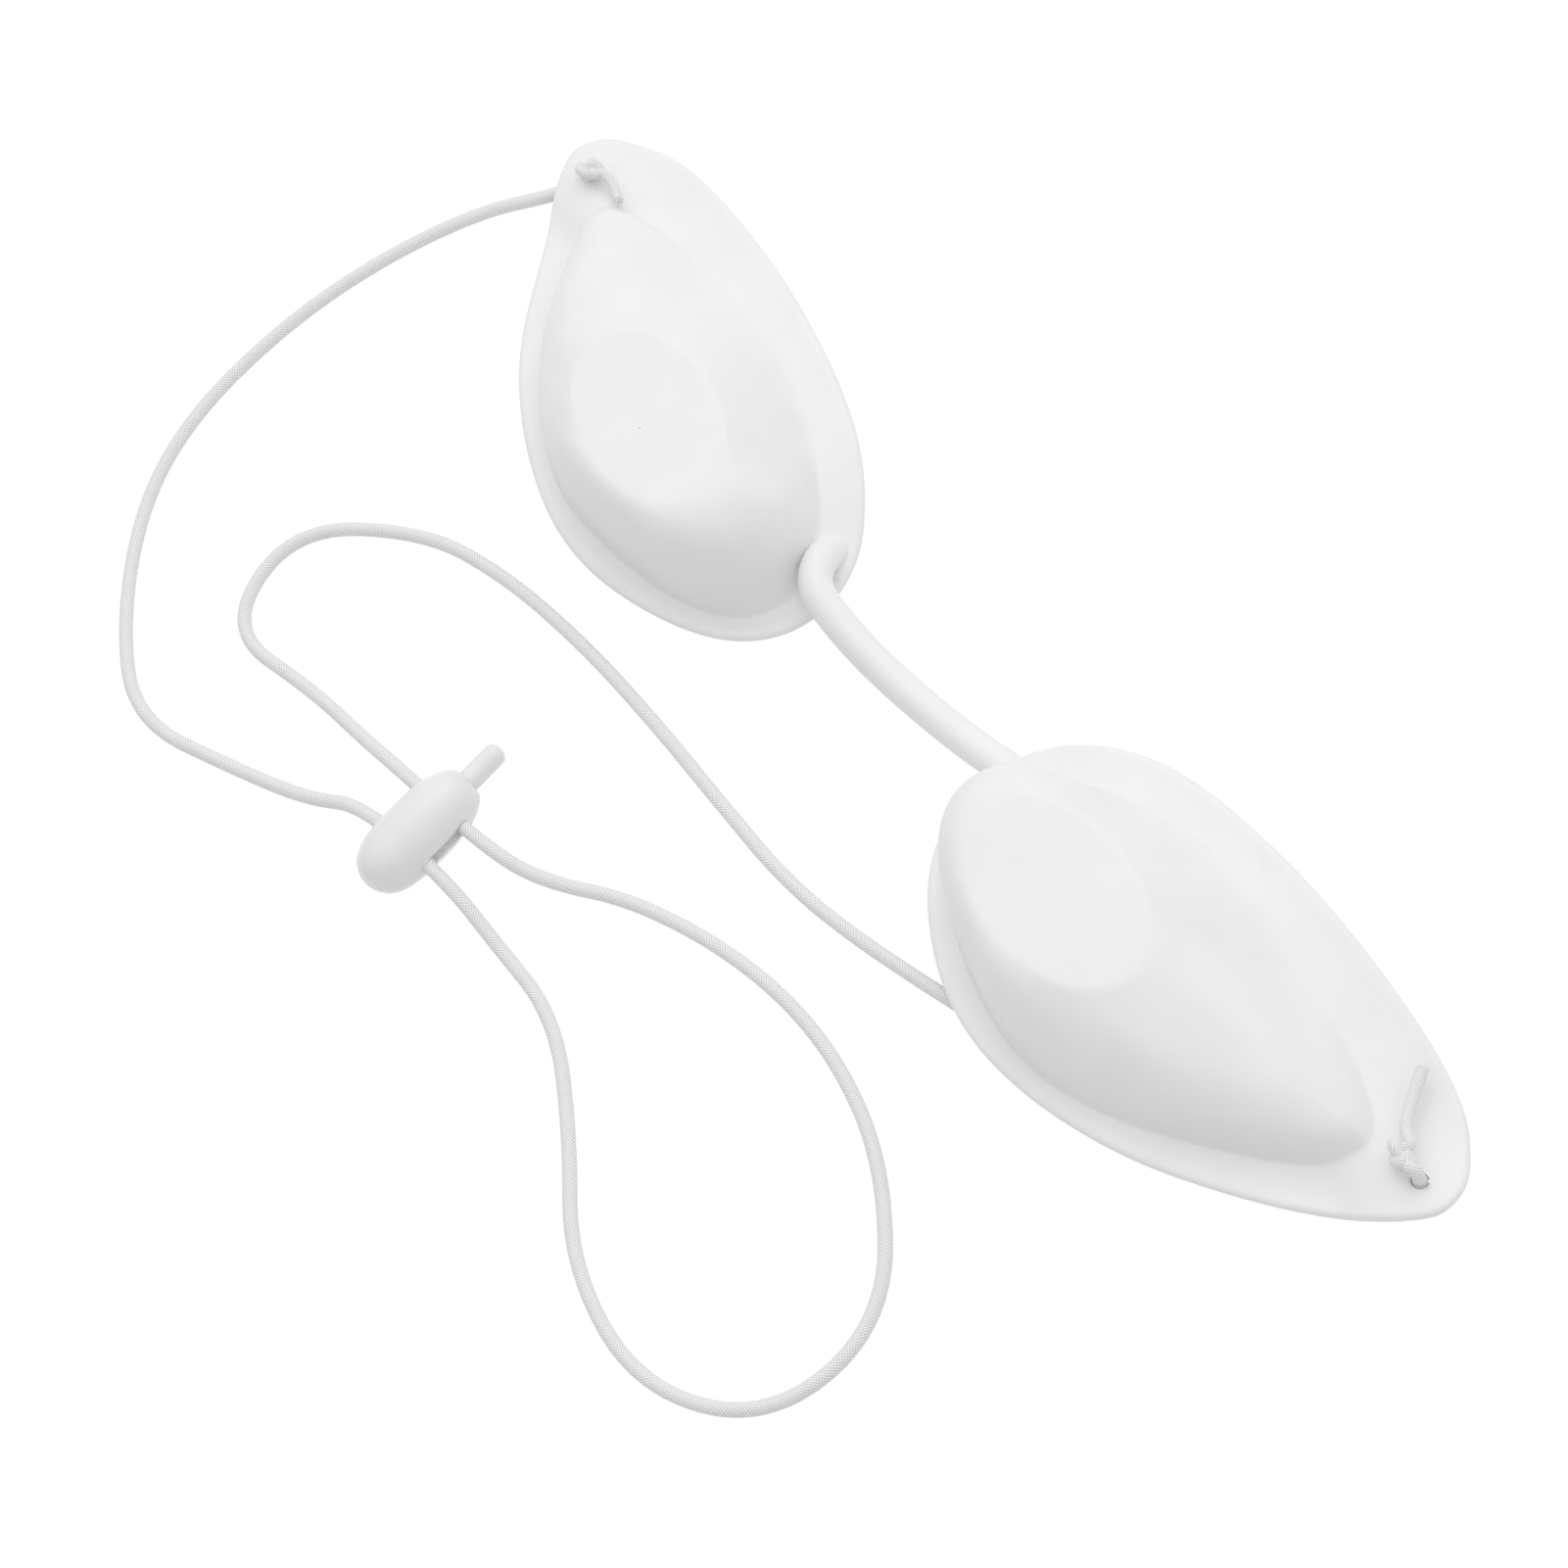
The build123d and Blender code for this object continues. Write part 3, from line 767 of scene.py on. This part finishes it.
def rod_rings(line):
    """Round sections of the nose rod. They spread where it runs into the cups."""
    rings = []
    for place, (point, (_, across, over)) in enumerate(zip(line, frames_along(line))):
        near_left = max(0.0, 1 - place * rod_spacing / root_reach) ** 2
        near_right = max(0.0, 1 - (len(line) - 1 - place) * rod_spacing / root_reach) ** 2
        wider, higher = (
            near_left * left + near_right * right for left, right in zip(left_root_shares, right_root_shares)
        )
        ring = []
        for side in range(rod_sides):
            turn = math.tau * side / rod_sides
            wide = across * math.cos(turn) * (1 + wider)
            high = over * math.sin(turn) * (1 + higher)
            ring.append(point + (wide + high) * rod_diameter / 2)
        rings.append(ring)
    return rings


def smooth_by_angle(piece, angle):
    clear_selection()
    piece.select_set(True)
    bpy.context.view_layer.objects.active = piece
    bpy.ops.object.shade_smooth_by_angle(angle=math.radians(angle))


def knot_line(way):
    """The cord's way through the hole, round its own knot and out to the cut end."""
    turn = Matrix.Rotation(math.radians(way["turn"]), 3, "Z")
    points = list(way["start"])
    for point in knot_points:
        level = turn @ Vector(point) * knot_unit
        level_place = knot_sideways * level.x + knot_upwards * level.y
        points.append(Vector(way["middle"]) + level_place + Vector((0, 0, level.z)))
    return centreline(points + way["end"], braid_ring_spacing)


def frayed_end(name, line, diameter):
    """Loose yarns at a cut end: thin tapered hairs that spread from the cord's section."""
    chance = random.Random(7)
    end = line[-1]
    along, across, over = frames_along(line)[-1]
    hairs = []
    for number in range(tuft_yarns):
        turn = math.tau * number * tuft_turn_share
        reach = math.sqrt((number + 0.5) / tuft_yarns)
        side = across * math.cos(turn) + over * math.sin(turn)
        root = end - along * tuft_root_inset + side * reach * diameter * tuft_root_share
        length = tuft_length * chance.uniform(*tuft_length_shares)
        lean = side * reach * chance.uniform(*tuft_lean_shares) + over * chance.uniform(*tuft_lift_shares)
        bend = root + along * length * 0.5 + lean * length * tuft_bend_share
        tip = root + along * length * 0.8 + lean * length
        step = length / tuft_steps
        hair = space_evenly(centreline([root, bend, tip], step), step)
        rings = []
        for place, (point, (_, wide, high)) in enumerate(zip(hair, frames_along(hair))):
            radius = tuft_yarn_radius * (1 - tuft_taper_share * place / (len(hair) - 1))
            turns = [math.tau * side / tuft_sides for side in range(tuft_sides)]
            rings.append([point + (wide * math.cos(turn) + high * math.sin(turn)) * radius for turn in turns])
        hairs.append(skin_rings(f"{name}_yarn", rings))
    clear_selection()
    for hair in hairs:
        hair.select_set(True)
    bpy.context.view_layer.objects.active = hairs[0]
    bpy.ops.object.join()
    hairs[0].name = name
    return hairs[0]


def lock_matrix():
    """The lock's own frame: z runs from its base to its nose, x along both passes of the strap, y down."""
    heading = math.radians(lock_heading)
    along = Vector((math.cos(heading), math.sin(heading), 0))
    across = Vector((math.sin(heading), -math.cos(heading), 0))
    turn = Matrix((across, along.cross(across), along)).transposed().to_4x4()
    return Matrix.Translation(lock_origin) @ turn


def lock_cutter(radius, end_radius, depth, middle, turn=0.0):
    """A round cutter in the lock's frame; turned by 90 degrees it lies along the passes."""
    clear_selection()
    bpy.ops.mesh.primitive_cone_add(vertices=lock_sides, radius1=radius, radius2=end_radius, depth=depth)
    cutter = bpy.context.object
    tilt = Matrix.Rotation(math.radians(turn), 4, "Y")
    cutter.matrix_world = lock_matrix() @ Matrix.Translation(middle) @ tilt
    return cutter


def turned_rings(profile, matrix):
    """Round sections along an axis: each has its place and radius."""
    rings = []
    for height, radius in profile:
        ring = []
        for side in range(lock_sides):
            turn = math.tau * side / lock_sides
            ring.append(matrix @ Vector((radius * math.cos(turn), radius * math.sin(turn), height)))
        rings.append(ring)
    return rings


def make_lock_bean():
    """Bean with its chamber, nose hole and passes for the strap, and the slot that joins their mouths."""
    piece = skin_rings("lock_bean", turned_rings(bean_profile, lock_matrix()))
    subdivide_surface(piece, 1)
    widest = max(radius for _, radius in bean_profile)
    cut_out(piece, lock_cutter(chamber_radius, chamber_radius, 2 * chamber_length, (0, 0, 0)))
    cut_out(piece, lock_cutter(nose_hole_radius, nose_hole_radius, widest, (0, 0, bean_profile[-1][0])))
    clear_selection()
    bpy.ops.mesh.primitive_cube_add(size=1.0)
    slot = bpy.context.object
    slot.matrix_world = (
        lock_matrix()
        @ Matrix.Translation((widest, 0, sum(pass_places) / 2))
        @ Matrix.Diagonal((2 * slot_depth, slot_height, pass_places[1] - pass_places[0], 1.0))
    )
    cut_out(piece, slot)
    for place in pass_places:
        cut_out(piece, lock_cutter(pass_radius, pass_radius, 4 * widest, (0, 0, place), 90.0))
        for end in (-1, 1):
            middle = (end * (widest - mouth_depth / 2), 0, place)
            cut_out(piece, lock_cutter(pass_radius, mouth_radius, mouth_depth, middle, 90.0 * end))
    smooth_by_angle(piece, bean_edge_angle)
    return piece


def make_base_plug():
    """Slightly domed disc that closes the bean's base."""
    piece = skin_rings("lock_base_plug", turned_rings(plug_profile, lock_matrix()))
    subdivide_surface(piece, 1)
    smooth_by_angle(piece, plug_edge_angle)
    return piece


def make_lock_spring():
    """Coil between the plug and the plunger."""
    matrix = lock_matrix()
    steps = spring_steps * spring_turns
    line = []
    for step in range(steps + 1):
        turn = math.tau * spring_turns * step / steps
        height = spring_start + (spring_end - spring_start) * step / steps
        line.append(matrix @ Vector((spring_radius * math.cos(turn), spring_radius * math.sin(turn), height)))
    return cord_tube("lock_spring_coil", line, spring_wire)


silicone = silicone_moulded()
braid = polyester_braid()
plastic = plastic_moulded_glossy()
steel = spring_steel_drawn()

for cup, body in (("left_cup", "root"), ("right_cup", "right_cup")):
    piece = make_cup(cup)
    set_material(piece, silicone)
    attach(piece, body)
    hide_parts(cup)

rod_line = centreline(rod_route, rod_spacing)
rings = rod_rings(rod_line)
middle = min(range(len(rod_line)), key=lambda place: abs(rod_line[place].x - rod_middle_x))
halves = {
    "nose_rod_left": (rings[:middle + 1], "root", "nose_bridge", left_bend),
    "nose_rod_right": (rings[middle:], "nose_bridge", "right_cup", right_bend),
}
for name, (half, near_body, far_body, (start, end)) in halves.items():
    piece = skin_rings(name, half)
    smooth_by_angle(piece, rod_edge_angle)
    set_material(piece, silicone)
    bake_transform(piece)
    if name == "nose_rod_left":
        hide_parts("nose_bridge")

knots = {}
for name, body in (("left_knot", "root"), ("right_knot", "right_cup")):
    line = knot_line(knot_ways[name])
    diameter = knot_ways[name]["diameter"]
    piece = cord_tube(f"{name}_cord", line, diameter)
    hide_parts(name)
    knots[name] = [piece, frayed_end(f"{name}_frayed_yarns", line, diameter)]
    for piece in knots[name]:
        set_material(piece, braid)
        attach(piece, body)

for name, (length, exit_point) in strap_lengths.items():
    line = centreline(strap_routes[name], braid_ring_spacing)
    piece = cord_tube(f"{name}_braid", line, strap_diameter)
    set_material(piece, braid)
    if name in strap_bends:
        near_body, far_body, start, end = strap_bends[name]
        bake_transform(piece)
    else:
        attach(piece, "root")
    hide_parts(name, f"{name}_core")

for piece, node in ((make_lock_bean(), "lock_body"), (make_base_plug(), "lock_plug")):
    set_material(piece, plastic)
    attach(piece, "cord_lock")
    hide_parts(node)
set_material(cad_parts["lock_plunger"], plastic)
spring = make_lock_spring()
set_material(spring, steel)
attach(spring, "cord_lock")
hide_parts("lock_spring")
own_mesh(spring)


def make_floor():
    """Matt white laminate table top, lit through: the camera sees it near white, with a faint shadow."""
    clear_selection()
    bpy.ops.mesh.primitive_plane_add(size=table_size, location=(0, 0, table_level))
    floor = bpy.context.object
    floor.name = "table_top"
    material, tree = new_material("table_laminate")
    light = add_node(tree, "ShaderNodeLightPath")
    seen = add_node(
        tree,
        "ShaderNodeMath",
        {"operation": "MAXIMUM"},
        {0: light.outputs["Is Camera Ray"], 1: light.outputs["Is Glossy Ray"]},
    )
    seen = add_node(
        tree,
        "ShaderNodeMath",
        {"operation": "MAXIMUM"},
        {0: seen.outputs[0], 1: light.outputs["Is Transmission Ray"]},
    )
    share = add_node(
        tree,
        "ShaderNodeMath",
        {"operation": "MULTIPLY_ADD", 1: table_seen_share, 2: table_glow_share},
        {0: seen.outputs[0]},
    )
    matte = add_node(tree, "ShaderNodeBsdfDiffuse", {"Color": linear_colour("f4f4f4")})
    white = add_node(tree, "ShaderNodeEmission", {"Strength": table_glow_strength})
    mixed = add_node(
        tree,
        "ShaderNodeMixShader",
        links={0: share.outputs[0], 1: matte.outputs["BSDF"], 2: white.outputs["Emission"]},
    )
    add_node(tree, "ShaderNodeOutputMaterial", links={"Surface": mixed.outputs["Shader"]})
    set_material(floor, material)


def add_lamp(name, location, size, power):
    lamp = bpy.data.lights.new(name, "AREA")
    lamp.size = size
    lamp.energy = power
    holder = bpy.data.objects.new(name, lamp)
    holder.location = location
    holder.rotation_mode = "QUATERNION"
    holder.rotation_quaternion = (-Vector(location)).to_track_quat("-Z", "Y")
    bpy.context.scene.collection.objects.link(holder)


def light_scene():
    """A bright tent, lighter from above and from the brow side, with one broad lamp for the sheen."""
    world = bpy.data.worlds.new("studio")
    bpy.context.scene.world = world
    world.use_nodes = True
    tree = world.node_tree
    tree.nodes.clear()
    light = add_node(tree, "ShaderNodeLightPath")
    way = add_node(tree, "ShaderNodeTexCoord").outputs["Object"]
    facing = add_node(
        tree, "ShaderNodeVectorMath", {"operation": "DOT_PRODUCT", 1: tent_direction}, {0: way}
    )
    level = add_node(
        tree,
        "ShaderNodeMapRange",
        {
            "From Min": tent_facing_shares[0],
            "From Max": tent_facing_shares[1],
            "To Min": tent_strengths[0],
            "To Max": tent_strengths[1],
        },
        {"Value": facing.outputs["Value"]},
    )
    tent = add_node(tree, "ShaderNodeBackground", links={"Strength": level.outputs["Result"]})
    white = add_node(tree, "ShaderNodeBackground", {"Strength": 1.0})
    mixed = add_node(
        tree,
        "ShaderNodeMixShader",
        links={
            0: light.outputs["Is Camera Ray"],
            1: tent.outputs["Background"],
            2: white.outputs["Background"],
        },
    )
    add_node(tree, "ShaderNodeOutputWorld", links={"Surface": mixed.outputs["Shader"]})
    add_lamp("overhead_softbox", lamp_place, lamp_size, lamp_power)


def place_camera():
    """The photograph's angle: 60 degrees above the table, rolled so the goggles run down to the right."""
    lens = bpy.data.cameras.new("camera")
    lens.sensor_width = camera_sensor_width
    lens.lens = camera_sensor_width * photo_focal_pixels / photo_width_pixels
    lens.clip_start = camera_clip_start
    lens.clip_end = camera_clip_end
    camera = bpy.data.objects.new("camera", lens)
    camera.rotation_mode = "QUATERNION"
    camera.rotation_quaternion = Matrix((camera_right, camera_up, camera_back)).transposed().to_quaternion()
    camera.location = camera_place
    bpy.context.scene.collection.objects.link(camera)
    bpy.context.scene.camera = camera


make_floor()
light_scene()
place_camera()
bpy.context.scene.view_settings.view_transform = "Standard"
